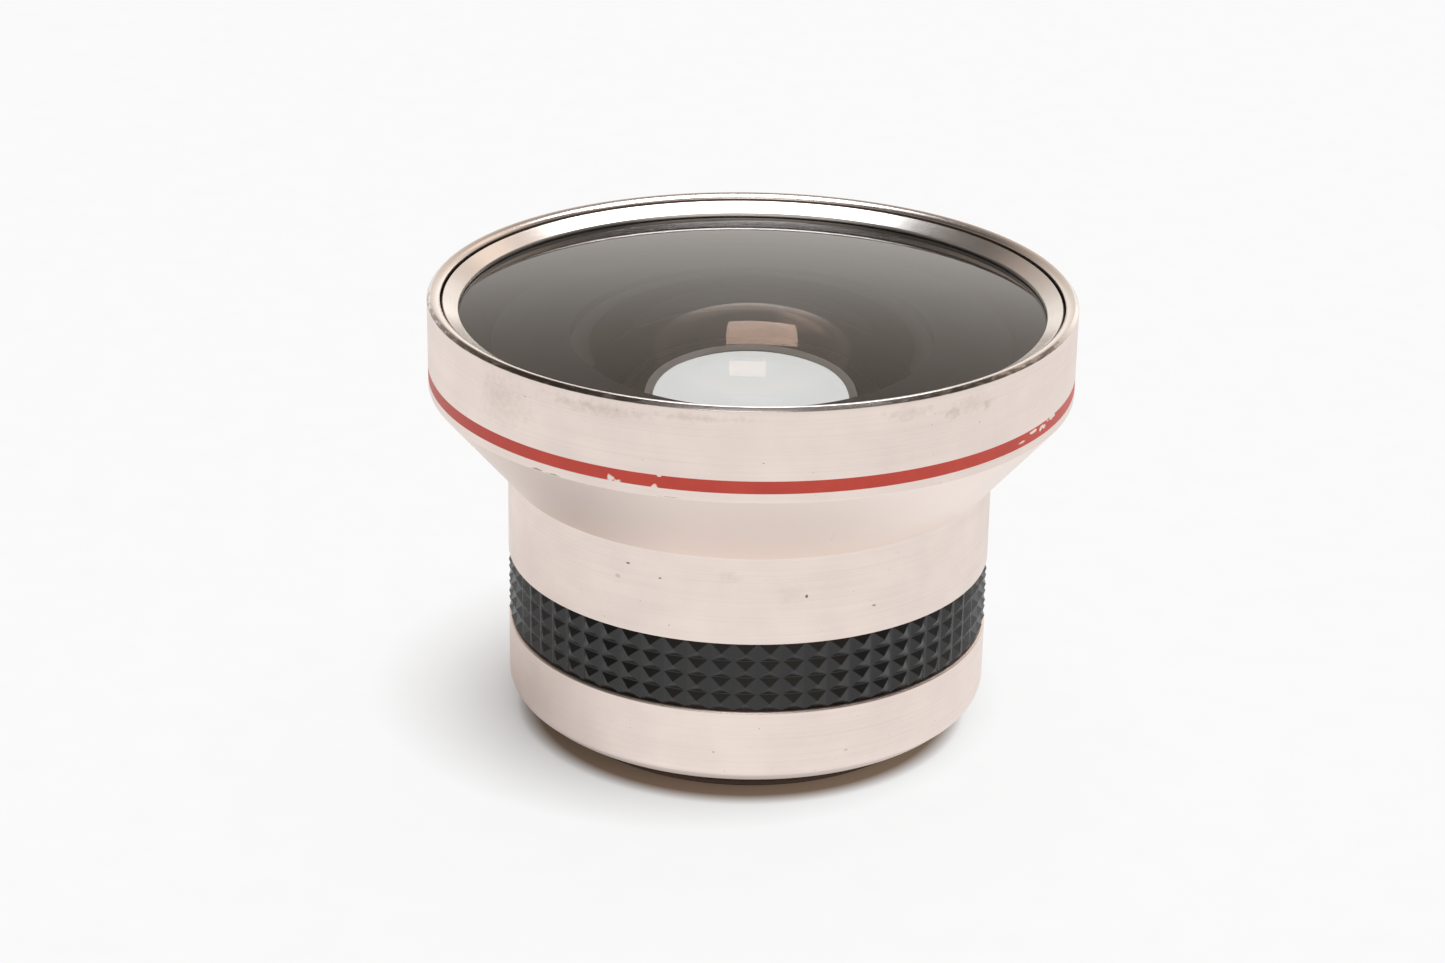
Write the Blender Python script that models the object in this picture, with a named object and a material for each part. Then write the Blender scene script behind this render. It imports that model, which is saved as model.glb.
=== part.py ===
# Wide-angle conversion lens for a camera.
# A flared front barrel carries a large meniscus glass under a screwed ring. A rear barrel
# screws on below it, wears the rubber grip and holds the rear doublet and the filter thread.
# All sizes are in metres. Z is the optical axis, the front glass looks up, and Z = 0 is
# the end of the rear thread, on which the lens stands.

import math

import bmesh
import bpy

# Clearance between two pieces that seat on each other
FIT = 0.0003

# Outer form, from the rear thread up to the front rim
THREAD_LENGTH = 0.0031
THREAD_RADIUS = 0.0260
SKIRT_HEIGHT = 0.0109
GROOVE_HEIGHT = 0.00955
NECK_HEIGHT = 0.01175
CONE_HEIGHT = 0.01205
BAND_HEIGHT = 0.0117
BARREL_STEP = 0.0062
CONE_FLARE = 0.0103
SKIRT_ROUND_WIDTH = 0.0040
SKIRT_ROUND_HEIGHT = 0.0031

# Front rim: chamfer, flat land, and the step down to the ring's thread
RIM_CHAMFER = 0.0005
RIM_LAND = 0.0006
RIM_STEP_WIDTH = 0.0006
RIM_STEP_DEPTH = 0.00065

# Screwed ring that holds the front glass
RING_RECESS = 0.00125
RING_FACE_WIDTH = 0.00193
RING_LIP = 0.0002
RING_SKIRT_WALL = 0.0006
RING_SKIRT_DEPTH = 0.0012

# Front glass: slightly domed outside, deeply dished inside, bevelled to its flat rear land
GLASS_SETBACK = 0.0004
GLASS_FRONT_CURVE = 0.340
GLASS_CENTRE = 0.00595
GLASS_BEVEL = 0.0064
DISH_LAND = 0.0100
SEAT_BELOW_BAND = 0.00595
SEAT_WIDTH = 0.0030
MASK_THICKNESS = 0.0006
MASK_SETBACK = 0.0040

# Walls of the front barrel and the spigot that carries the rear barrel
NECK_WALL = 0.0025
SPIGOT_WALL = 0.0015
SPIGOT_SHOULDER = 0.00095

# Smooth black funnel between the two glasses
BAFFLE_WALL = 0.0010
BAFFLE_FLANGE = 0.0012
BAFFLE_TOP_GAP = 0.0013

# Rubber grip in its groove, moulded with pyramids
GROOVE_DEPTH = 0.0019
GRIP_PROUD = 0.0001
PYRAMID_HEIGHT = 0.00065
PYRAMID_COLUMN_PITCH = 0.00311
PYRAMID_ROW_PITCH = 0.0023
VALLEY_WIDTH = 0.00036

# Rear barrel and the ring with the filter thread
REAR_WALL = 0.0013
WEB_THICKNESS = 0.0015
MOUNT_FLANGE = 0.0015
MOUNT_WALL = 0.0014
MOUNT_CHAMFER = 0.0004

# Rear doublet, its cell and its ring
CELL_WALL = 0.0082
REAR_SEAT_WIDTH = 0.0007
REAR_SEAT_HEIGHT = 0.0095
REAR_SEAT_LIP = 0.0003
CROWN_TOP_CURVE = 0.045
CEMENT_CURVE = 0.060
FLINT_REAR_CURVE = 0.090
CROWN_EDGE = 0.0015
FLINT_CENTRE = 0.0020
CELL_THREAD_STEP = 0.0012
CELL_SHOULDER_HEIGHT = 0.0114
COLLAR_WALL = 0.0022
REAR_RING_LAP = 0.0021
REAR_RING_LIP = 0.0002
REAR_RING_RISE = 0.00176

# Facets round each kind of piece
SHELL_FACETS = 72
GLASS_FACETS = 56
INNER_FACETS = 40

# Levels of the outer form
SKIRT_BOTTOM = THREAD_LENGTH
GROOVE_BOTTOM = SKIRT_BOTTOM + SKIRT_HEIGHT
GROOVE_TOP = GROOVE_BOTTOM + GROOVE_HEIGHT
CONE_FOOT = GROOVE_TOP + NECK_HEIGHT
BAND_FOOT = CONE_FOOT + CONE_HEIGHT
BAND_TOP = BAND_FOOT + BAND_HEIGHT
RIM_TOP = BAND_TOP + RIM_CHAMFER

# Outer radii
NECK_RADIUS = THREAD_RADIUS + BARREL_STEP
BAND_RADIUS = NECK_RADIUS + CONE_FLARE

# Front bores and the glass in them
RIM_BORE = BAND_RADIUS - RIM_CHAMFER - RIM_LAND
RING_BORE = RIM_BORE - RIM_STEP_WIDTH
RING_RADIUS = RING_BORE - FIT
GLASS_BORE = RING_RADIUS - RING_SKIRT_WALL
GLASS_RADIUS = GLASS_BORE - FIT
GLASS_TOP = RIM_TOP - GLASS_SETBACK
SEAT_LEVEL = BAND_FOOT - SEAT_BELOW_BAND
GLASS_REAR = SEAT_LEVEL + FIT + MASK_THICKNESS + FIT
LAND_RADIUS = GLASS_RADIUS - GLASS_BEVEL
DISH_RADIUS = LAND_RADIUS - DISH_LAND
SEAT_BORE = LAND_RADIUS + FIT

# Bores below the front glass
NECK_BORE = NECK_RADIUS - NECK_WALL
GROOVE_RADIUS = NECK_RADIUS - GROOVE_DEPTH
REAR_BORE = GROOVE_RADIUS - REAR_WALL
INNER_RADIUS = REAR_BORE - FIT
SPIGOT_BORE = INNER_RADIUS - SPIGOT_WALL
LEDGE_LEVEL = GROOVE_TOP + SPIGOT_SHOULDER

# Rear stack, from the web of the rear barrel up
MOUNT_FLANGE_LEVEL = SKIRT_BOTTOM + WEB_THICKNESS + FIT
MOUNT_BORE = THREAD_RADIUS - MOUNT_WALL
CELL_LEVEL = MOUNT_FLANGE_LEVEL + MOUNT_FLANGE + FIT
SPIGOT_BOTTOM = CELL_LEVEL + CELL_SHOULDER_HEIGHT + FIT
FLINT_LEVEL = CELL_LEVEL + REAR_SEAT_HEIGHT + FIT
REAR_GLASS_RADIUS = INNER_RADIUS - CELL_WALL
REAR_CLEAR_RADIUS = REAR_GLASS_RADIUS - REAR_SEAT_WIDTH
REAR_GLASS_BORE = REAR_GLASS_RADIUS + FIT
REAR_RING_RADIUS = REAR_GLASS_BORE + CELL_THREAD_STEP
REAR_RING_BORE = REAR_RING_RADIUS + FIT
COLLAR_RADIUS = REAR_RING_BORE + COLLAR_WALL
STOP_RADIUS = REAR_GLASS_RADIUS - REAR_RING_LAP


def sag(curve, radius):
    """Depth of a spherical face of the given curve at a distance from the axis."""
    return curve - math.sqrt(curve * curve - radius * radius)


FLINT_EDGE = FLINT_CENTRE + sag(CEMENT_CURVE, REAR_GLASS_RADIUS) - sag(FLINT_REAR_CURVE, REAR_GLASS_RADIUS)
CROWN_LEVEL = FLINT_LEVEL + FLINT_EDGE + FIT
CROWN_TOP = CROWN_LEVEL + CROWN_EDGE + sag(CROWN_TOP_CURVE, REAR_GLASS_RADIUS)
REAR_RING_LEVEL = CROWN_TOP - sag(CROWN_TOP_CURVE, STOP_RADIUS) + FIT
REAR_RING_HEIGHT = REAR_RING_LIP + REAR_RING_RISE
CELL_TOP = REAR_RING_LEVEL + REAR_RING_HEIGHT + FIT


def clear_scene():
    for item in list(bpy.data.objects):
        bpy.data.objects.remove(item, do_unlink=True)


def principled(name, colour, roughness, metallic=0.0, transmission=0.0):
    """One material with the piece's own colour and finish."""
    material = bpy.data.materials.new(name)
    material.use_nodes = True
    shader = material.node_tree.nodes["Principled BSDF"]
    shader.inputs["Base Color"].default_value = (*colour, 1.0)
    shader.inputs["Roughness"].default_value = roughness
    shader.inputs["Metallic"].default_value = metallic
    shader.inputs["Transmission Weight"].default_value = transmission
    return material


def finish(name, mesh_builder, level, material, axis_empty):
    """Turn a built mesh into a named, smooth-shaded piece standing at its level on the axis."""
    bmesh.ops.remove_doubles(mesh_builder, verts=mesh_builder.verts, dist=1e-6)
    bmesh.ops.recalc_face_normals(mesh_builder, faces=mesh_builder.faces)
    mesh = bpy.data.meshes.new(name)
    mesh_builder.to_mesh(mesh)
    mesh_builder.free()
    mesh.shade_smooth()
    mesh.set_sharp_from_angle(angle=math.radians(30))
    mesh.materials.append(material)
    piece = bpy.data.objects.new(name, mesh)
    piece.location = (0.0, 0.0, level)
    piece.parent = axis_empty
    bpy.context.scene.collection.objects.link(piece)
    return piece


def turned(outline, facets, closed=True):
    """Spin an outline of (radius, height) points round the axis, as a lathe would."""
    builder = bmesh.new()
    points = [builder.verts.new((radius, 0.0, height)) for radius, height in outline]
    edges = [builder.edges.new(pair) for pair in zip(points, points[1:])]
    if closed:
        edges.append(builder.edges.new((points[-1], points[0])))
    bmesh.ops.spin(
        builder,
        geom=points + edges,
        cent=(0.0, 0.0, 0.0),
        axis=(0.0, 0.0, 1.0),
        angle=math.tau,
        steps=facets,
        use_merge=True,
    )
    return builder


def dome(curve, radius, steps, peak, up=True):
    """Points of a spherical face from the axis out to a radius, with its peak at a height."""
    side = -1.0 if up else 1.0
    spread = [radius * step / steps for step in range(steps + 1)]
    return [(r, peak + side * sag(curve, r)) for r in spread]


def front_shell_outline():
    """Flared barrel, from the rim down the outside to the spigot and back up the bores."""
    outside = [
        (RIM_BORE, RIM_TOP),
        (RIM_BORE + RIM_LAND, RIM_TOP),
        (BAND_RADIUS, BAND_TOP),
        (BAND_RADIUS, BAND_FOOT),
        (NECK_RADIUS, CONE_FOOT),
        (NECK_RADIUS, GROOVE_TOP),
    ]
    spigot = [
        (INNER_RADIUS, GROOVE_TOP),
        (INNER_RADIUS, SPIGOT_BOTTOM),
        (SPIGOT_BORE, SPIGOT_BOTTOM),
        (SPIGOT_BORE, LEDGE_LEVEL),
    ]
    ring_step = ring_outline()[-1][1] - FIT
    bevel_clearance = FIT * math.sqrt(2.0)
    bevel_foot = GLASS_REAR + FIT - bevel_clearance
    inside = [
        (NECK_BORE, LEDGE_LEVEL),
        (NECK_BORE, CONE_FOOT),
        (SEAT_BORE - SEAT_WIDTH, SEAT_LEVEL),
        (SEAT_BORE, SEAT_LEVEL),
        (SEAT_BORE, bevel_foot),
        (GLASS_BORE, bevel_foot + GLASS_BEVEL),
        (GLASS_BORE, ring_step),
        (RING_BORE, ring_step),
        (RING_BORE, RIM_TOP - RIM_STEP_DEPTH),
        (RIM_BORE, RIM_TOP - RIM_STEP_DEPTH),
    ]
    return outside + spigot + inside


def glass_front_height(radius):
    return GLASS_TOP - sag(GLASS_FRONT_CURVE, radius)


def ring_outline():
    """Screwed ring: sloping face, thin lip over the glass and a threaded skirt round it."""
    lip_radius = RING_RADIUS - RING_FACE_WIDTH
    lip_under = glass_front_height(lip_radius) + FIT
    web_under = glass_front_height(GLASS_BORE) + FIT
    return [
        (RING_RADIUS, RIM_TOP - RING_RECESS),
        (lip_radius, lip_under + RING_LIP),
        (lip_radius, lip_under),
        (GLASS_BORE, web_under),
        (GLASS_BORE, web_under - RING_SKIRT_DEPTH),
        (RING_RADIUS, web_under - RING_SKIRT_DEPTH),
    ]


def front_glass_outline():
    """Heavy negative glass: shallow dome in front, deep dish and flat land behind, and a
    45 degree bevel that follows the flare of the barrel."""
    dish_peak = GLASS_TOP - GLASS_CENTRE
    dish_depth = dish_peak - GLASS_REAR
    dish_curve = (DISH_RADIUS ** 2 + dish_depth ** 2) / (2.0 * dish_depth)
    front = dome(GLASS_FRONT_CURVE, GLASS_RADIUS, 5, GLASS_TOP)
    bevel = [(GLASS_RADIUS, GLASS_REAR + GLASS_BEVEL), (LAND_RADIUS, GLASS_REAR)]
    dish = dome(dish_curve, DISH_RADIUS, 6, dish_peak)
    return front + bevel + dish[::-1]


def mask_outline():
    """Thin black ring between the glass's rear land and its shoulder in the barrel."""
    inner = DISH_RADIUS + MASK_SETBACK
    return [
        (inner, 0.0),
        (LAND_RADIUS, 0.0),
        (LAND_RADIUS, MASK_THICKNESS),
        (inner, MASK_THICKNESS),
    ]


def baffle_outline():
    """Smooth funnel with a flange on the ledge, which opens up towards the front glass."""
    top = SEAT_LEVEL - FIT - LEDGE_LEVEL - FIT
    low_radius = COLLAR_RADIUS + FIT
    top_radius = SEAT_BORE - SEAT_WIDTH - BAFFLE_TOP_GAP
    flange_radius = NECK_BORE - FIT
    return [
        (low_radius, 0.0),
        (low_radius, BAFFLE_FLANGE),
        (top_radius - BAFFLE_WALL, top),
        (top_radius, top),
        (low_radius + BAFFLE_WALL, BAFFLE_FLANGE),
        (flange_radius, BAFFLE_FLANGE),
        (flange_radius, 0.0),
    ]


def rear_shell_outline():
    """Rear barrel: grip groove, rounded skirt and the web that clamps the mount ring."""
    round_start = SKIRT_BOTTOM + SKIRT_ROUND_HEIGHT
    turns = [math.radians(18.0 * index) for index in range(6)]
    rounding = [
        (
            NECK_RADIUS - SKIRT_ROUND_WIDTH * (1.0 - math.cos(turn)),
            round_start - SKIRT_ROUND_HEIGHT * math.sin(turn),
        )
        for turn in turns
    ]
    hole = THREAD_RADIUS + FIT
    web_top = SKIRT_BOTTOM + WEB_THICKNESS
    top = GROOVE_TOP - FIT
    return (
        [(GROOVE_RADIUS, top), (GROOVE_RADIUS, GROOVE_BOTTOM), (NECK_RADIUS, GROOVE_BOTTOM)]
        + rounding
        + [(hole, SKIRT_BOTTOM), (hole, web_top), (REAR_BORE, web_top), (REAR_BORE, top)]
    )


def mount_ring_outline():
    """Flanged ring whose lower end carries the male filter thread."""
    return [
        (THREAD_RADIUS, MOUNT_FLANGE_LEVEL),
        (THREAD_RADIUS, MOUNT_CHAMFER),
        (THREAD_RADIUS - MOUNT_CHAMFER, 0.0),
        (MOUNT_BORE, 0.0),
        (MOUNT_BORE, MOUNT_FLANGE_LEVEL + MOUNT_FLANGE),
        (INNER_RADIUS, MOUNT_FLANGE_LEVEL + MOUNT_FLANGE),
        (INNER_RADIUS, MOUNT_FLANGE_LEVEL),
    ]


def rear_cell_outline():
    """Cell of the doublet: wide rear bore, cone up to a thin glass seat, glass bore, and a
    collar with the ring's thread that stands up inside the spigot."""
    height = CELL_TOP - CELL_LEVEL
    thread_foot = REAR_RING_LEVEL - FIT - CELL_LEVEL
    cone_top = REAR_SEAT_HEIGHT - REAR_SEAT_LIP
    cone_foot = cone_top - (MOUNT_BORE - REAR_CLEAR_RADIUS)
    return [
        (COLLAR_RADIUS, height),
        (COLLAR_RADIUS, CELL_SHOULDER_HEIGHT),
        (INNER_RADIUS, CELL_SHOULDER_HEIGHT),
        (INNER_RADIUS, 0.0),
        (MOUNT_BORE, 0.0),
        (MOUNT_BORE, cone_foot),
        (REAR_CLEAR_RADIUS, cone_top),
        (REAR_CLEAR_RADIUS, REAR_SEAT_HEIGHT),
        (REAR_GLASS_BORE, REAR_SEAT_HEIGHT),
        (REAR_GLASS_BORE, thread_foot),
        (REAR_RING_BORE, thread_foot),
        (REAR_RING_BORE, height),
    ]


def crown_outline():
    """Biconvex front half of the doublet."""
    top = dome(CROWN_TOP_CURVE, REAR_GLASS_RADIUS, 4, CROWN_TOP - CROWN_LEVEL)
    bottom = dome(CEMENT_CURVE, REAR_GLASS_RADIUS, 4, -sag(CEMENT_CURVE, REAR_GLASS_RADIUS), up=False)
    return top + bottom[::-1]


def flint_outline():
    """Meniscus rear half of the doublet, hollow in front to take the crown."""
    hollow_peak = FLINT_EDGE - sag(CEMENT_CURVE, REAR_GLASS_RADIUS)
    hollow = dome(CEMENT_CURVE, REAR_GLASS_RADIUS, 4, hollow_peak, up=False)
    bottom = dome(FLINT_REAR_CURVE, REAR_GLASS_RADIUS, 3, hollow_peak - FLINT_CENTRE, up=False)
    return hollow + bottom[::-1]


def rear_ring_outline():
    """Screwed ring that holds the doublet in its cell, with a face that slopes in to the glass."""
    return [
        (REAR_RING_RADIUS, 0.0),
        (REAR_RING_RADIUS, REAR_RING_HEIGHT),
        (STOP_RADIUS, REAR_RING_LIP),
        (STOP_RADIUS, 0.0),
    ]


def grip_mesh():
    """Rubber sleeve: a grid of squares is inset to leave valleys, and each square is
    raised to a point in its middle, which gives rows of pyramids round the sleeve."""
    height = GROOVE_HEIGHT - 2.0 * FIT
    point_radius = NECK_RADIUS + GRIP_PROUD
    valley_radius = point_radius - PYRAMID_HEIGHT
    columns = round(math.tau * point_radius / PYRAMID_COLUMN_PITCH)
    rows = round(height / PYRAMID_ROW_PITCH)
    inner_radius = GROOVE_RADIUS + FIT
    outside = [(valley_radius, height * row / rows) for row in range(rows + 1)]
    builder = turned([(inner_radius, 0.0)] + outside + [(inner_radius, height)], columns)
    bmesh.ops.remove_doubles(builder, verts=builder.verts, dist=1e-6)
    middle = (inner_radius + valley_radius) / 2.0

    def on_outside(face):
        return all(vert.co.xy.length > middle for vert in face.verts)

    squares = [face for face in builder.faces if on_outside(face)]
    bmesh.ops.recalc_face_normals(builder, faces=builder.faces)
    bmesh.ops.inset_individual(builder, faces=squares, thickness=VALLEY_WIDTH / 2.0, use_even_offset=True)
    points = bmesh.ops.poke(builder, faces=squares)["verts"]
    for point in points:
        point.co.xy = point.co.xy.normalized() * point_radius
    return builder


def build_lens():
    axis_empty = bpy.data.objects.new("optical_axis", None)
    bpy.context.scene.collection.objects.link(axis_empty)
    satin = (0.72, 0.62, 0.56)
    black = (0.012, 0.011, 0.010)
    glass = (0.93, 0.95, 0.94)

    pieces = [
        ("front_shell", front_shell_outline, SHELL_FACETS, 0.0,
         principled("front_shell_satin_nickel", satin, 0.32, metallic=1.0)),
        ("rear_shell", rear_shell_outline, SHELL_FACETS, 0.0,
         principled("rear_shell_satin_nickel", satin, 0.32, metallic=1.0)),
        ("front_retaining_ring", ring_outline, SHELL_FACETS, 0.0,
         principled("front_ring_satin_nickel", satin, 0.28, metallic=1.0)),
        ("front_mask_ring", mask_outline, GLASS_FACETS, SEAT_LEVEL + FIT,
         principled("mask_black", black, 0.6)),
        ("light_baffle", baffle_outline, INNER_FACETS, LEDGE_LEVEL + FIT,
         principled("baffle_black", black, 0.7)),
        ("mount_ring", mount_ring_outline, GLASS_FACETS, 0.0,
         principled("mount_ring_black_anodised", (0.03, 0.026, 0.024), 0.4, metallic=0.8)),
        ("rear_cell", rear_cell_outline, INNER_FACETS, CELL_LEVEL,
         principled("rear_cell_black_anodised", black, 0.45, metallic=0.6)),
        ("rear_retaining_ring", rear_ring_outline, INNER_FACETS, REAR_RING_LEVEL,
         principled("rear_ring_plain_aluminium", satin, 0.4, metallic=1.0)),
    ]
    for name, outline, facets, level, material in pieces:
        finish(name, turned(outline(), facets), level, material, axis_empty)

    glasses = [
        ("front_element", front_glass_outline, GLASS_FACETS, 0.0),
        ("rear_crown_element", crown_outline, INNER_FACETS, CROWN_LEVEL),
        ("rear_flint_element", flint_outline, INNER_FACETS, FLINT_LEVEL),
    ]
    for name, outline, facets, level in glasses:
        material = principled(name + "_clear_glass", glass, 0.0, transmission=1.0)
        finish(name, turned(outline(), facets, closed=False), level, material, axis_empty)

    rubber = principled("grip_black_rubber", (0.035, 0.035, 0.035), 0.55)
    finish("grip_sleeve", grip_mesh(), GROOVE_BOTTOM + FIT, rubber, axis_empty)


clear_scene()
build_lens()
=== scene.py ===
# Wide-angle conversion lens standing on its rear thread on a white table.
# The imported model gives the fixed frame. Each piece below is turned, moulded or ground again in
# fine detail at its place there. Profiles are in millimetres: distance from the axis, height.

import math

import bpy
from mathutils import Matrix


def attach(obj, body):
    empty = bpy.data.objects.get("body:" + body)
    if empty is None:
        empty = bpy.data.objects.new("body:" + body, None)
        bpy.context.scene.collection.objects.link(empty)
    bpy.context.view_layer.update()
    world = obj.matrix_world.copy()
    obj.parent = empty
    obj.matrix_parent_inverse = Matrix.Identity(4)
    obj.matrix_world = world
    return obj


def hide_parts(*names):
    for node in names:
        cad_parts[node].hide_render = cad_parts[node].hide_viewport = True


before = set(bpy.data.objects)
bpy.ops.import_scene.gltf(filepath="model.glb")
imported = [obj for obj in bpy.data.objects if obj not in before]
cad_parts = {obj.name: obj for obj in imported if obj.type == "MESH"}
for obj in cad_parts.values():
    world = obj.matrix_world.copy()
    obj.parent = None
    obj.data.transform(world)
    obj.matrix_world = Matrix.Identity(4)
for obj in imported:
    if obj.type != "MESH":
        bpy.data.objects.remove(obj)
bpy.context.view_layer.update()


# Camera: it stands in front of the lens and looks down at it by 22.6 degrees, with a short
# telephoto view that leaves a wide white margin round the object.
camera_data = bpy.data.cameras.new("studio_camera")
camera_data.sensor_width = 36.0
camera_data.lens = 82.54
camera_data.clip_start = 0.01
camera = bpy.data.objects.new("studio_camera", camera_data)
bpy.context.scene.collection.objects.link(camera)
LOOK_DOWN = 0.39498
LOOK_LEFT = 0.00873
ROLL = 0.01626
camera.rotation_euler = (
    Matrix.Rotation(LOOK_LEFT, 3, "Z")
    @ Matrix.Rotation(math.pi / 2 - LOOK_DOWN, 3, "X")
    @ Matrix.Rotation(ROLL, 3, "Z")
).to_euler()
camera.location = (0.0, -0.40925, 0.20296)
bpy.context.scene.camera = camera
bpy.context.scene.view_settings.view_transform = "Standard"


# White table: a sheet of matt white board. The camera, the metal and the glass see it clean white,
# with the lens's shadow there partly painted and a painted brown shade close round the barrel's foot.
def linear(code):
    """A colour written as sRGB hex, in the linear values that the shaders read."""
    parts = [int(code[place:place + 2], 16) / 255 for place in (1, 3, 5)]
    values = [p / 12.92 if p <= 0.04045 else ((p + 0.055) / 1.055) ** 2.4 for p in parts]
    return (*values, 1.0)


def add_node(tree, kind, inputs=None, **settings):
    """Adds one node with its settings, and links or sets its inputs."""
    node = tree.nodes.new(kind)
    for name, value in settings.items():
        setattr(node, name, value)
    for name, value in (inputs or {}).items():
        if isinstance(value, bpy.types.NodeSocket):
            tree.links.new(value, node.inputs[name])
        else:
            node.inputs[name].default_value = value
    return node


def new_material(name):
    """An empty material, ready for nodes."""
    material = bpy.data.materials.new(name)
    material.use_nodes = True
    material.node_tree.nodes.clear()
    return material, material.node_tree


def shade(tree, **inputs):
    """One principled surface with the given inputs, joined to the material's output."""
    values = {name.replace("_", " "): value for name, value in inputs.items()}
    shader = add_node(tree, "ShaderNodeBsdfPrincipled", values)
    add_node(tree, "ShaderNodeOutputMaterial", {"Surface": shader.outputs[0]})


def maths(tree, operation, *values):
    """The result of one operation on its values, in order."""
    return add_node(tree, "ShaderNodeMath", dict(enumerate(values)), operation=operation).outputs[0]


def between(tree, value, low, high, bottom=0.0, top=1.0):
    """Maps a stretch of one value to another, clamped at both ends."""
    return add_node(tree, "ShaderNodeMapRange", {
        "Value": value, "From Min": low, "From Max": high, "To Min": bottom, "To Max": top}).outputs[0]


def blend(tree, factor, first, second):
    """Goes from the first colour to the second as the factor grows."""
    return add_node(tree, "ShaderNodeMix", {"Factor": factor, "A": first, "B": second},
                    data_type="RGBA").outputs["Result"]


def noise(tree, scale, detail=2.0, **inputs):
    """Noise in object space, with a given number of waves to the metre."""
    values = {"Scale": scale, "Detail": detail, **inputs}
    if "Vector" not in values:
        values["Vector"] = add_node(tree, "ShaderNodeTexCoord").outputs["Object"]
    return add_node(tree, "ShaderNodeTexNoise", values).outputs["Fac"]


def distance(tree, x, y):
    """Distance over the table from one point, in metres."""
    place = add_node(tree, "ShaderNodeTexCoord").outputs["Object"]
    return add_node(tree, "ShaderNodeVectorMath", {0: place, 1: (x, y, 0.0)},
                    operation="DISTANCE").outputs["Value"]


bpy.ops.object.select_all(action="DESELECT")
bpy.ops.mesh.primitive_plane_add(size=6.0, location=(0.0, 0.0, 0.0))
table = bpy.context.object
table.name = "white_table"
FOOT_SHADE = 0.0280
SHADOW_CENTRE = (-0.008, 0.006)
SIDE_SHADOW_CENTRE = (-0.050, 0.010)

# Matt white card with a faint mottle. Under the barrel's foot its colour is painted brown: painted shade.
board, tree = new_material("matt_white_board_with_painted_shade")
away = distance(tree, -0.0006, 0.0)
mottle = between(tree, noise(tree, 150.0), 0.0, 1.0, 0.80, 0.82)
white = blend(tree, between(tree, away, FOOT_SHADE, 0.0306), linear("#8f7a68"), linear("#ffffff"))
white = add_node(tree, "ShaderNodeVectorMath", {0: white, "Scale": mottle}, operation="SCALE").outputs[0]
# Painted shadow: the share of clean white that the camera sees falls near the foot and round a point left
# of the axis and behind it.
direct = maths(tree, "MULTIPLY", between(tree, away, FOOT_SHADE, 0.0312, 0.75, 1.0),
               between(tree, distance(tree, *SHADOW_CENTRE), 0.022, 0.044, 0.2, 0.95))
# Painted shade in reflections: the share of clean white that the metal and glass mirror falls near the foot
# and toward the left and behind.
mirrored = maths(tree, "MULTIPLY", between(tree, away, 0.026, 0.033, 0.1, 1.0),
                 between(tree, distance(tree, *SIDE_SHADOW_CENTRE), 0.018, 0.054))
path = add_node(tree, "ShaderNodeLightPath").outputs
share = maths(tree, "MAXIMUM", maths(tree, "MULTIPLY", path["Is Camera Ray"], direct),
              maths(tree, "MULTIPLY", path["Is Glossy Ray"], mirrored))
share = maths(tree, "MAXIMUM", share, maths(tree, "MULTIPLY", path["Is Transmission Ray"], 0.80))
bright = blend(tree, path["Is Camera Ray"], linear("#e7e7e7"), white)
matt = add_node(tree, "ShaderNodeBsdfPrincipled", {
    "Base Color": white, "Roughness": 0.6, "Specular IOR Level": 0.2})
clean_white = add_node(tree, "ShaderNodeEmission", {"Color": bright, "Strength": 1.19})
both = add_node(tree, "ShaderNodeMixShader", {0: share, 1: matt.outputs[0], 2: clean_white.outputs[0]})
add_node(tree, "ShaderNodeOutputMaterial", {"Surface": both.outputs[0]})
table.data.materials.append(board)


# Lamps: a broad softbox overhead and a little behind, which the ring and the dish of the front
# glass mirror, and a smaller one in front.
def softbox(name, place, tip, width, depth, radiance, tint):
    """A rectangular softbox. It faces down until it is tipped about the X axis."""
    data = bpy.data.lights.new(name, "AREA")
    data.shape = "RECTANGLE"
    data.size = width
    data.size_y = depth
    data.energy = radiance * math.pi * width * depth
    data.color = tint
    lamp = bpy.data.objects.new(name, data)
    lamp.location = place
    lamp.rotation_euler = (math.radians(tip), 0.0, 0.0)
    bpy.context.scene.collection.objects.link(lamp)


softbox("overhead_softbox", (0.145, 0.25, 1.05), tip=0, width=0.91, depth=0.70,
        radiance=5.0, tint=(0.98, 1.0, 1.03))
softbox("front_softbox", (-0.06, -0.74, 0.95), tip=38, width=0.52, depth=0.44,
        radiance=2.5, tint=(1.0, 1.0, 1.0))


# Room: warm walls, pale near the floor and dark overhead, brighter behind than in front. A glow
# behind on the right is mirrored in the left part of the retaining ring.
room = bpy.data.worlds.new("pale_room")
bpy.context.scene.world = room
room.use_nodes = True
tree = room.node_tree
tree.nodes.clear()
parts = add_node(tree, "ShaderNodeSeparateXYZ", {
    0: add_node(tree, "ShaderNodeTexCoord").outputs["Generated"]}).outputs
WALL_TONES = [
    (0.10, (1.00, 0.940, 0.885)), (0.26, (0.86, 0.808, 0.755)), (0.34, (0.70, 0.644, 0.588)),
    (0.41, (0.59, 0.519, 0.460)), (0.54, (0.43, 0.357, 0.305)), (0.68, (0.12, 0.103, 0.092))]
wall = add_node(tree, "ShaderNodeValToRGB", {"Fac": parts["Z"]})
for spot, (place, tint) in enumerate(WALL_TONES):
    stop = wall.color_ramp.elements[spot] if spot < 2 else wall.color_ramp.elements.new(place)
    stop.position = place
    stop.color = (*tint, 1.0)
depth = between(tree, parts["Y"], -0.7, 0.7, 0.6, 1.0)
side = between(tree, parts["X"], -0.5, 0.5, 0.8, 1.08)
ends = between(tree, maths(tree, "ABSOLUTE", parts["X"]), 0.5, 0.8, 1.0, 0.3)
level = maths(tree, "MULTIPLY", maths(tree, "MULTIPLY", depth, side), ends)
glow = maths(tree, "MULTIPLY", between(tree, parts["X"], 0.22, 0.38), between(tree, parts["Z"], 0.46, 0.75))
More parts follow.
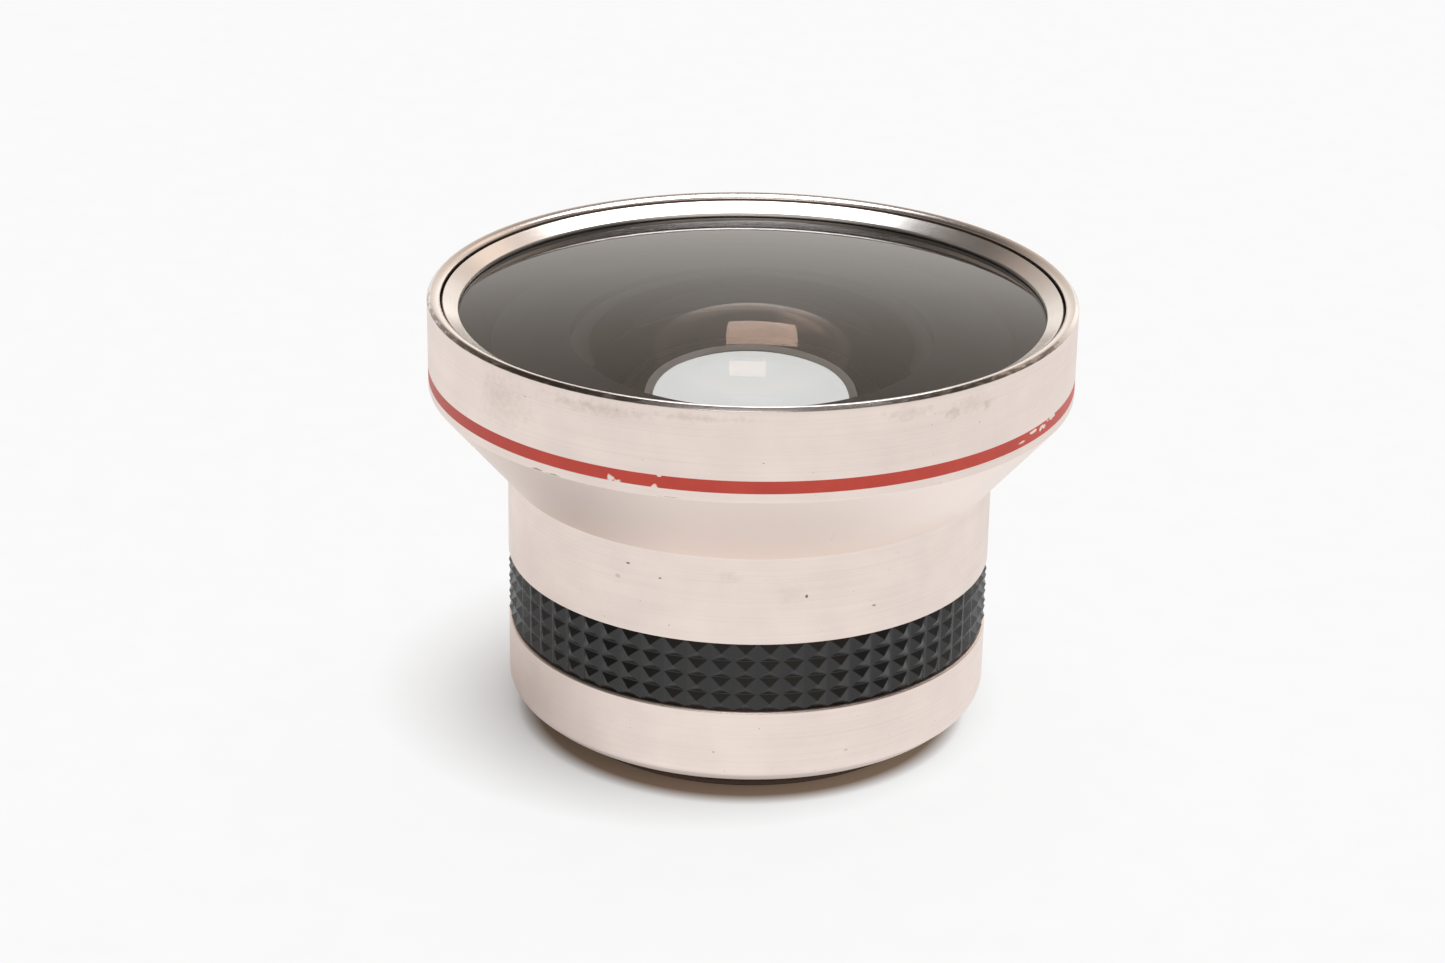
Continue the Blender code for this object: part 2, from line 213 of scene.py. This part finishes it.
glow = maths(tree, "MULTIPLY", glow, between(tree, parts["Y"], 0.25, 0.45, 0.0, 5.6))
strength = maths(tree, "ADD", maths(tree, "MULTIPLY", level, 1.38), glow)
sky = add_node(tree, "ShaderNodeBackground", {"Color": wall.outputs["Color"], "Strength": strength})
add_node(tree, "ShaderNodeOutputWorld", {"Surface": sky.outputs[0]})


# Front barrel: one aluminium turning with a satin champagne nickel plate. The band at the top
# carries a red painted line, and the bore below it is stepped for the ring and the glass.
MM = 0.001


def turned(name, profile, facets=256, round_edges=0.08, closed=True):
    """Draws a profile out of one circle, ring by ring, and breaks its sharp edges. An open
    profile starts and ends close to the axis, where its last small rings are filled. Flat faces
    stay flat to the light, so that only the broken edges catch it."""
    bpy.ops.object.select_all(action="DESELECT")
    radius, height = profile[0]
    bpy.ops.mesh.primitive_circle_add(vertices=facets, radius=radius * MM, location=(0.0, 0.0, 0.0))
    piece = bpy.context.object
    piece.name = name
    bpy.ops.object.mode_set(mode="EDIT")
    bpy.ops.mesh.select_all(action="SELECT")
    bpy.ops.transform.translate(value=(0.0, 0.0, height * MM))
    for next_radius, next_height in profile[1:] + (profile[:1] if closed else []):
        bpy.ops.mesh.extrude_region_move(
            TRANSFORM_OT_translate={"value": (0.0, 0.0, (next_height - height) * MM)})
        scale = next_radius / radius
        bpy.ops.transform.resize(value=(scale, scale, 1.0), center_override=(0.0, 0.0, next_height * MM))
        radius, height = next_radius, next_height
    bpy.ops.mesh.select_all(action="SELECT")
    bpy.ops.mesh.remove_doubles(threshold=1e-6)
    if not closed:
        bpy.ops.mesh.fill_holes(sides=0)
    bpy.ops.mesh.normals_make_consistent(inside=False)
    bpy.ops.object.mode_set(mode="OBJECT")
    if round_edges:
        bevel = piece.modifiers.new("broken_edges", "BEVEL")
        bevel.width = round_edges * MM
        bevel.segments = 2
        bevel.limit_method = "ANGLE"
        bevel.angle_limit = math.radians(25)
        bpy.ops.object.modifier_apply(modifier=bevel.name)
    bpy.ops.object.shade_smooth_by_angle(angle=math.radians(30))
    if round_edges:
        flat = piece.modifiers.new("flat_faces", "WEIGHTED_NORMAL")
        flat.keep_sharp = True
        bpy.ops.object.modifier_apply(modifier=flat.name)
    return piece


RIM = 59.55
RIM_INNER_EDGE = 58.95
RING_BORE = 40.8
BAND = 42.5
BAND_FOOT = 47.35
RED_LINE = (48.5, 50.1)
NECK = 32.2
CONE_FOOT = 35.3
GROOVE_TOP = 23.55
front_barrel = turned("front_barrel", [
    (RING_BORE, RIM_INNER_EDGE), (40.95, 59.12), (41.2, 59.32), (41.55, 59.46), (42.0, RIM), (BAND, 59.05),
    (BAND, BAND_FOOT), (NECK, CONE_FOOT), (NECK, GROOVE_TOP),
    (28.7, GROOVE_TOP), (28.7, 18.4), (27.2, 18.4), (27.2, 24.5), (29.7, 24.5), (29.7, CONE_FOOT),
    (30.5, 41.4), (33.5, 41.4), (33.5, 42.48), (39.9, 48.88), (39.9, 55.6), (RING_BORE, 55.6)])


def polar(tree):
    """Distance from the axis and height in millimetres, and the angle round the axis in degrees,
    from the side nearest the camera and positive to the right."""
    place = add_node(tree, "ShaderNodeTexCoord").outputs["Object"]
    grown = add_node(tree, "ShaderNodeVectorMath", {0: place, "Scale": 1000.0}, operation="SCALE")
    parts = add_node(tree, "ShaderNodeSeparateXYZ", {0: grown.outputs[0]}).outputs
    flat = add_node(tree, "ShaderNodeVectorMath", {0: grown.outputs[0], 1: (1.0, 1.0, 0.0)},
                    operation="MULTIPLY")
    radius = add_node(tree, "ShaderNodeVectorMath", {0: flat.outputs[0]}, operation="LENGTH")
    front = maths(tree, "MULTIPLY", parts["Y"], -1.0)
    angle = maths(tree, "MULTIPLY", maths(tree, "ARCTAN2", parts["X"], front), 180.0 / math.pi)
    return radius.outputs["Value"], parts["Z"], angle


def inside(tree, value, low, high, edge):
    """1 where a value lies between two limits, with soft edges of the given width."""
    rise = between(tree, value, low - edge, low)
    fall = between(tree, value, high, high + edge, 1.0, 0.0)
    return maths(tree, "MULTIPLY", rise, fall)


def marks(tree, angle, height, spots, ragged, core=0.7):
    """The strongest of a few marks on a turned surface. Each is given by its turn in degrees, its
    height, its half width and half height in millimetres, and its strength. A low core is soft."""
    found = 0.0
    for turn, level, wide, tall, strength in spots:
        along = maths(tree, "MULTIPLY", maths(tree, "SUBTRACT", angle, turn), math.radians(BAND) / wide)
        up = maths(tree, "MULTIPLY", maths(tree, "SUBTRACT", height, level), 1.0 / tall)
        flat = add_node(tree, "ShaderNodeCombineXYZ", {"X": along, "Y": up}).outputs[0]
        far = add_node(tree, "ShaderNodeVectorMath", {0: flat}, operation="LENGTH").outputs["Value"]
        mark = between(tree, maths(tree, "ADD", far, ragged), core, 1.1, strength, 0.0)
        found = maths(tree, "MAXIMUM", found, mark)
    return found


SPECKS = [
    (-27.9, 32.84, 0.30, 0.14, 0.8), (-19.9, 31.68, 0.32, 0.12, 0.8), (-15.2, 35.4, 0.30, 0.12, 0.5),
    (13.5, 30.07, 0.26, 0.2, 0.8), (-30.3, 30.7, 0.7, 0.3, 0.22), (17.0, 39.5, 0.14, 0.9, 0.4),
    (30.0, 27.4, 0.3, 0.13, 0.5), (-7.0, 8.2, 0.26, 0.13, 0.3), (24.0, 7.6, 0.3, 0.12, 0.3),
    (-34.5, 47.45, 1.1, 0.1, 0.6), (-38.0, 47.5, 0.7, 0.1, 0.6), (-13.0, 47.4, 1.2, 0.07, 0.45)]
STAINS = [
    (35.3, 56.4, 1.3, 0.8, 0.5), (42.8, 56.3, 1.0, 0.7, 0.4), (38.5, 56.9, 4.5, 1.2, 0.2),
    (-27.0, 57.6, 8.0, 0.9, 0.32), (-9.0, 58.0, 6.0, 0.6, 0.25), (27.0, 57.6, 3.5, 0.9, 0.25),
    (-3.9, 32.8, 2.2, 1.0, 0.18), (-46.0, 55.0, 5.0, 3.5, 0.18), (10.0, 30.5, 3.0, 1.6, 0.1)]
CHIPS = [
    (-23.4, 48.75, 0.5, 0.5, 1.0), (-22.1, 48.5, 0.5, 0.3, 1.0), (-15.8, 48.5, 0.4, 0.34, 1.0),
    (-14.8, 50.1, 0.34, 0.2, 1.0), (53.0, 49.1, 0.7, 0.16, 1.0), (56.5, 49.7, 1.0, 0.22, 1.0),
    (60.0, 49.5, 1.2, 0.3, 1.0), (63.5, 49.9, 1.2, 0.24, 1.0)]


def satin_plate(name, gloss, tones=("#f8e9e1", "#f2e4dc"), on_front=False):
    """Fine satin champagne nickel: turning lines, a slow haze, small dark pits and its wear. The
    front barrel's rim is glossier and worn dark along its chamfer, its bore is painted dark as
    painted shade, its cone is painted lighter as a painted sheen, and it carries the red line."""
    material, tree = new_material(name)
    radius, height, angle = polar(tree)
    across = maths(tree, "ADD", maths(tree, "MULTIPLY", radius, 3.0), maths(tree, "MULTIPLY", height, 3.3))
    turns = add_node(tree, "ShaderNodeCombineXYZ", {
        "X": maths(tree, "MULTIPLY", angle, 0.02), "Y": across}).outputs[0]
    lines = noise(tree, 1.0, 2.0, Vector=turns)
    haze = noise(tree, 170.0, 5.0)
    pits = noise(tree, 1900.0, 1.0)
    ragged = between(tree, noise(tree, 1400.0, 3.0), 0.3, 0.7, -0.5, 0.5)
    plate = blend(tree, between(tree, haze, 0.3, 0.7), linear(tones[0]), linear(tones[1]))
    plate = blend(tree, between(tree, lines, 0.45, 0.75, 0.0, 0.07), plate, linear("#b7a79d"))
    plate = blend(tree, between(tree, pits, 0.78, 0.82, 0.0, 0.5), plate, linear("#6b5e55"))
    plate = blend(tree, marks(tree, angle, height, STAINS, ragged, -0.4), plate, linear("#9a8472"))
    plate = blend(tree, marks(tree, angle, height, SPECKS, ragged), plate, linear("#3d342e"))
    rough = maths(tree, "ADD", between(tree, haze, 0.3, 0.7, gloss, gloss + 0.03),
                  between(tree, lines, 0.3, 0.7, -0.02, 0.02))
    metal = 1.0
    if on_front:
        # Painted sheen: the cone's plate is painted lighter than the rest.
        cone = inside(tree, height, CONE_FOOT, BAND_FOOT, 0.1)
        plate = blend(tree, maths(tree, "MULTIPLY", cone, 0.85), plate, linear("#fff2ea"))
        rim = between(tree, height, RIM_INNER_EDGE, 59.08)
        rough = between(tree, rim, 0.0, 1.0, rough, 0.22)
        plate = blend(tree, rim, plate, linear("#e2dad5"))
        # Painted shade: the bore wall in the gap above the retaining ring is painted dark.
        bore = maths(tree, "MULTIPLY", inside(tree, height, 55.0, 58.9, 0.04),
                     between(tree, radius, RING_BORE + 0.06, RING_BORE + 0.03))
        plate = blend(tree, bore, plate, linear("#4a3f37"))
        chamfer = maths(tree, "MULTIPLY", rim, between(tree, radius, 42.02, 42.12))
        rubbed = maths(tree, "MAXIMUM", inside(tree, angle, -84.0, -20.0, 7.0),
                       inside(tree, angle, 26.0, 62.0, 6.0))
        rubbed = between(tree, rubbed, 0.0, 1.0, 0.62, 0.38)
        along = add_node(tree, "ShaderNodeCombineXYZ", {
            "X": maths(tree, "MULTIPLY", angle, 0.4), "Y": maths(tree, "MULTIPLY", radius, 2.5)}).outputs[0]
        scuffs = noise(tree, 1.0, 4.0, Vector=along)
        worn = between(tree, maths(tree, "SUBTRACT", scuffs, rubbed), 0.0, 0.14, 0.0, 0.65)
        plate = blend(tree, maths(tree, "MULTIPLY", worn, chamfer), plate, linear("#6a5c51"))
        paint = maths(tree, "MULTIPLY", inside(tree, height, *RED_LINE, 0.04),
                      between(tree, radius, BAND - 0.2, BAND - 0.15))
        chipped = maths(tree, "SUBTRACT", 1.0, marks(tree, angle, height, CHIPS, ragged))
        paint = maths(tree, "MULTIPLY", paint, chipped)
        fading = between(tree, noise(tree, 260.0, 3.0), 0.3, 0.7)
        red = blend(tree, fading, linear("#e5503f"), linear("#dc4a3b"))
        plate = blend(tree, paint, plate, red)
        rough = between(tree, paint, 0.0, 1.0, rough, 0.45)
        metal = maths(tree, "SUBTRACT", 1.0, paint)
    relief = add_node(tree, "ShaderNodeBump", {"Height": lines, "Strength": 0.1, "Distance": 0.02 * MM})
    shade(tree, Base_Color=plate, Metallic=metal, Roughness=rough, Normal=relief.outputs[0])
    return material


front_barrel.data.materials.append(satin_plate("satin_nickel_with_red_line", 0.4, on_front=True))
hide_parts("front_shell")
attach(front_barrel, "root")


# Retaining ring: a brighter turned ring that screws into the rim over the glass. Its face
# slopes in to a thin upright lip, and a fine gap parts it from the barrel.
retaining_ring = turned("glass_retaining_ring", [
    (40.62, 58.55), (40.42, 58.72), (38.5, 57.57), (38.4, 57.06),
    (39.9, 56.95), (39.9, 55.9), (40.62, 55.9)], round_edges=0.02)
# The plate is the barrel's, a little whiter and near a mirror.
retaining_ring.data.materials.append(satin_plate("bright_satin_nickel_plate", 0.2, ("#e4dfdb", "#ddd8d4")))
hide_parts("front_retaining_ring")
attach(retaining_ring, "root")


# Front glass: a heavy negative element, ground slightly convex in front and deeply dished
# behind. Its rear land, bevel and edge are painted black, and the dish has a coating.
def sag(curve, radius):
    """How far a sphere falls away from its top at a distance from the axis."""
    return curve - math.sqrt(curve * curve - radius * radius)


def face_points(curve, edge, rings, peak, down=True):
    """Points of a spherical face from near the axis out to its edge."""
    side = -1.0 if down else 1.0
    spread = [edge * (step + 0.3) / (rings + 0.3) for step in range(rings + 1)]
    return [(r, peak + side * sag(curve, r)) for r in spread]


GLASS_EDGE = 39.6
GLASS_TOP = 59.15
GLASS_LAND = 33.2
GLASS_REAR = 42.6
DISH = 23.2
DISH_PEAK = 53.2
dish_depth = DISH_PEAK - GLASS_REAR
dish_curve = (DISH ** 2 + dish_depth ** 2) / (2 * dish_depth)
front_glass = turned(
    "front_glass",
    face_points(340.0, GLASS_EDGE, 24, GLASS_TOP) + [(GLASS_EDGE, 49.0), (GLASS_LAND, GLASS_REAR)]
    + face_points(dish_curve, DISH, 28, DISH_PEAK)[::-1], round_edges=0.0, closed=False)


def optical_glass(name, tint, index, coating=(1.0, 1.0, 1.0, 1.0)):
    """Clear polished glass. The coating weighs and tints what its face reflects."""
    material, tree = new_material(name)
    shade(tree, Base_Color=linear(tint), Roughness=0.0, IOR=index, Transmission_Weight=1.0,
          Specular_Tint=coating)
    return material


def black_paint(name, tone, roughness, specular):
    """Black lacquer or anodising with a fine grit in its gloss."""
    material, tree = new_material(name)
    grit = noise(tree, 2500.0)
    rough = between(tree, grit, 0.3, 0.7, roughness - 0.06, roughness + 0.06)
    relief = add_node(tree, "ShaderNodeBump", {"Height": grit, "Strength": 0.2, "Distance": 0.03 * MM})
    shade(tree, Base_Color=linear(tone), Roughness=rough, Specular_IOR_Level=specular,
          Normal=relief.outputs[0])
    return material


# The front face is clear. The coating warms what the dish mirrors, and the matt black paint round
# it looks nearly black through the glass.
CROWN_TINT = "#fdfefd"
CROWN_INDEX = 1.52
WARM_COATING = (1.5, 0.95, 0.7, 1.0)
for material in (
        optical_glass("polished_crown_glass", CROWN_TINT, CROWN_INDEX),
        optical_glass("coated_dish_of_crown_glass", CROWN_TINT, CROWN_INDEX, WARM_COATING),
        black_paint("blackened_glass_edge", "#221510", roughness=0.6, specular=0.3),
        black_paint("blackened_glass_land", "#1b1818", roughness=0.6, specular=0.3)):
    front_glass.data.materials.append(material)
COATED, EDGE, LAND = 1, 2, 3
for face in front_glass.data.polygons:
    if face.normal.z < 0 and face.center.xy.length < DISH * MM:
        face.material_index = COATED
    elif face.normal.z < -0.9:
        face.material_index = LAND
    elif face.normal.z < 0.5:
        face.material_index = EDGE
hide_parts("front_element")
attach(front_glass, "root")


# Mask ring: a thin flat ring of sheet metal between the front glass and its seat. Its flat black
# paint hides the seat's edge from the front.
mask_ring = turned(
    "glass_mask_ring", [(27.2, 41.7), (33.2, 41.7), (33.2, 42.3), (27.2, 42.3)],
    facets=128, round_edges=0.05)
# A warm black with hardly any gloss, which keeps the inside of the lens dark.
flat_black = black_paint("flat_black_paint", "#161412", roughness=0.6, specular=0.3)
mask_ring.data.materials.append(flat_black)
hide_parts("front_mask_ring")
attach(mask_ring, "root")


# Light baffle: a smooth funnel, matt black inside and out, that leads from the rear cell up to
# the front glass. Its foot stands on the ledge inside the front barrel's neck.
light_baffle = turned("light_baffle_funnel", [
    (24.8, 24.8), (24.8, 26.0), (28.2, 41.1), (29.2, 41.1),
    (25.8, 26.0), (29.4, 26.0), (29.4, 24.8)], facets=128, round_edges=0.05)
light_baffle.data.materials.append(flat_black)
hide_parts("light_baffle")
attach(light_baffle, "root")


# Rear barrel: the lower turning, in the same satin plate. It carries the grip in its groove and
# is rounded under toward the thread. A web at its foot holds the mount ring and the rear cell.
GROOVE_BOTTOM = 14.0
slopes = [math.radians(7.5 * step) for step in range(5)]
underside = [(28.2 + 4.0 * math.cos(slope), 6.2 - 3.1 * math.sin(slope)) for slope in slopes]
rear_barrel = turned("rear_barrel", [
    (30.3, 23.25), (30.3, GROOVE_BOTTOM), (NECK - 0.22, GROOVE_BOTTOM), (NECK, GROOVE_BOTTOM - 0.2),
    *underside, (30.35, 3.5), (28.2, 3.1), (26.3, 3.1), (26.3, 4.6), (29.0, 4.6), (29.0, 23.25)])
rear_barrel.data.materials.append(satin_plate("satin_nickel_plate", 0.4))
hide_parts("rear_shell")
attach(rear_barrel, "root")


# Rear cell: a black anodised turning. A cone leads up to the thin seat of the rear doublet,
# and its collar stands up inside the spigot with the ring's thread.
rear_cell = turned("rear_lens_cell", [
    (24.5, 25.11), (24.5, 18.1), (28.7, 18.1), (28.7, 6.7), (24.6, 6.7), (24.6, 11.1), (19.8, 15.9),
    (19.8, 16.2), (20.8, 16.2), (20.8, 22.55), (22.3, 22.55), (22.3, 25.11)], facets=192)
# Black anodising: a very dark brown-grey with a soft gloss.
rear_cell.data.materials.append(
    black_paint("black_anodised_aluminium", "#24201d", roughness=0.38, specular=0.6))
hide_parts("rear_cell")
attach(rear_cell, "root")


# Rear doublet: a crown glass and a flint glass, ground to one inner curve and cemented. Their
# edges are blackened, and the clear cement leaves nothing to see where they meet.
REAR_EDGE = 20.5
CEMENT = 60.0
CROWN_EDGE_LEVEL = 20.04
CROWN_TOP = 26.48
cement_peak = CROWN_EDGE_LEVEL - sag(CEMENT, REAR_EDGE)
crown_glass = turned(
    "rear_crown_glass",
    face_points(45.0, REAR_EDGE, 18, CROWN_TOP)
    + face_points(CEMENT, REAR_EDGE, 18, cement_peak, down=False)[::-1],
    facets=192, round_edges=0.0, closed=False)
flint_glass = turned(
    "rear_flint_glass",
    face_points(CEMENT, REAR_EDGE, 18, cement_peak - 0.3, down=False)
    + face_points(90.0, REAR_EDGE, 14, cement_peak - 2.3, down=False)[::-1],
    facets=192, round_edges=0.0, closed=False)
# The coating leaves only a faint bluish mirror on the polished faces.
ANTIREFLECTION_COATING = (0.10, 0.11, 0.13, 1.0)
rear_polish = optical_glass("polished_doublet_glass", "#fffefd", 1.54, ANTIREFLECTION_COATING)
# The cement can't be seen, so the light goes straight from one glass to the other.
cement, tree = new_material("clear_optical_cement")
shade(tree, Base_Color=linear("#ffffff"), Roughness=0.0, Alpha=0.0)
edge_black = black_paint("blackened_rear_glass_edge", "#161412", roughness=0.6, specular=0.3)
CEMENTED, BLACKENED = 1, 2
for glass, node, cement_side in (
        (crown_glass, "rear_crown_element", -1), (flint_glass, "rear_flint_element", 1)):
    for material in (rear_polish, cement, edge_black):
        glass.data.materials.append(material)
    for face in glass.data.polygons:
        if face.normal.z * cement_side > 0.5:
            face.material_index = CEMENTED
        elif abs(face.normal.z) < 0.3:
            face.material_index = BLACKENED
    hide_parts(node)
    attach(glass, "root")


# Rear retaining ring: it screws into the cell over the doublet. Its cone down to the glass is plain
# turned aluminium, and its flat top is blackened.
CONE_TOP = 19.6
rear_ring = turned("rear_retaining_ring_turned", [
    (22.0, 22.85), (22.0, 24.81), (CONE_TOP, 24.81), (18.4, 23.05), (18.4, 22.85)],
    facets=192, round_edges=0.05)
# Bare aluminium with fine turning cuts, matt enough to stay pale all round.
material, tree = new_material("plain_turned_aluminium")
_, height, angle = polar(tree)
turns = add_node(tree, "ShaderNodeCombineXYZ", {
    "X": maths(tree, "MULTIPLY", angle, 0.02), "Y": maths(tree, "MULTIPLY", height, 9.0)}).outputs[0]
cuts = noise(tree, 1.0, 2.0, Vector=turns)
shade(tree, Base_Color=blend(tree, cuts, linear("#d6cdc6"), linear("#e6ded8")), Metallic=1.0,
      Roughness=between(tree, cuts, 0.3, 0.7, 0.78, 0.9))
rear_ring.data.materials.append(material)
rear_ring.data.materials.append(flat_black)
for face in rear_ring.data.polygons:
    face.material_index = 0 if face.center.xy.length < (CONE_TOP + 0.05) * MM else 1
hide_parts("rear_retaining_ring")
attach(rear_ring, "root")


# Mount ring: anodised aluminium, flanged above and cut below with the 52 mm filter thread on
# which the lens stands. The thread's pitch is 0.75 mm.
THREAD_CREST = 26.0
THREAD_ROOT = 25.55
HALF_PITCH = 0.375
thread = [(THREAD_CREST if step % 2 else THREAD_ROOT, 3.1 - HALF_PITCH * step) for step in range(1, 8)]
mount_ring = turned("filter_mount_ring", [
    (25.6, 4.9), (25.6, 3.1), *thread, (THREAD_ROOT, 0.25), (25.3, 0.0),
    (24.6, 0.0), (24.6, 6.4), (28.7, 6.4), (28.7, 4.9)], facets=192, round_edges=0.03)
# Black anodising painted a lighter brown, a painted reflection of the brown shade round the foot, with a
# low gloss on its ridges.
mount_ring.data.materials.append(
    black_paint("black_anodised_thread_painted_brown", "#523a2e", roughness=0.48, specular=0.6))
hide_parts("mount_ring")
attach(mount_ring, "root")


# Grip: a moulded rubber sleeve in the groove, with four rows of pyramids in 65 columns. Flat
# strips part the columns, thin lines part the rows, and the mould rounds the pyramids' edges.
COLUMNS = 65
ROWS = 4
GRIP_FOOT = 14.05
GRIP_HEIGHT = 9.25
VALLEY = 31.7
PYRAMID = 0.58
STRIP = 0.13
bpy.ops.object.select_all(action="DESELECT")
bpy.ops.mesh.primitive_circle_add(vertices=COLUMNS, radius=VALLEY * MM, fill_type="NGON")
grip = bpy.context.object
grip.name = "rubber_grip"
bpy.ops.object.mode_set(mode="EDIT")
bpy.ops.mesh.select_all(action="SELECT")
bpy.ops.mesh.bevel(offset=STRIP * MM, affect="VERTICES")
bpy.ops.mesh.delete(type="ONLY_FACE")
bpy.ops.mesh.select_all(action="SELECT")
bpy.ops.transform.translate(value=(0.0, 0.0, GRIP_FOOT * MM))
for row in range(ROWS):
    bpy.ops.mesh.extrude_region_move(TRANSFORM_OT_translate={"value": (0.0, 0.0, GRIP_HEIGHT / ROWS * MM)})
bpy.ops.mesh.select_mode(type="FACE")
bpy.ops.object.mode_set(mode="OBJECT")
for face in grip.data.polygons:
    face.select = face.area > 2.0 * MM * MM
bpy.ops.object.mode_set(mode="EDIT")
bpy.ops.mesh.inset(thickness=0.03 * MM, use_individual=True)
bpy.ops.mesh.poke(offset=PYRAMID * MM)
bpy.ops.mesh.select_all(action="SELECT")
bpy.ops.mesh.normals_make_consistent(inside=False)
bpy.ops.object.mode_set(mode="OBJECT")
rounding = grip.modifiers.new("moulded_edges", "BEVEL")
rounding.width = 0.045 * MM
rounding.segments = 1
rounding.limit_method = "ANGLE"
rounding.angle_limit = math.radians(20)
bpy.ops.object.modifier_apply(modifier=rounding.name)

# Hard black rubber with the fine grain of its mould. Its gloss makes the side faces light.
material, tree = new_material("moulded_black_rubber")
grit = noise(tree, 1800.0, 3.0)
relief = add_node(tree, "ShaderNodeBump", {"Height": grit, "Strength": 0.3, "Distance": 0.03 * MM})
shade(tree, Base_Color=linear("#0a0a0a"), Roughness=0.25, Specular_IOR_Level=0.6, Normal=relief.outputs[0])
grip.data.materials.append(material)
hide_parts("grip_sleeve")
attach(grip, "root")
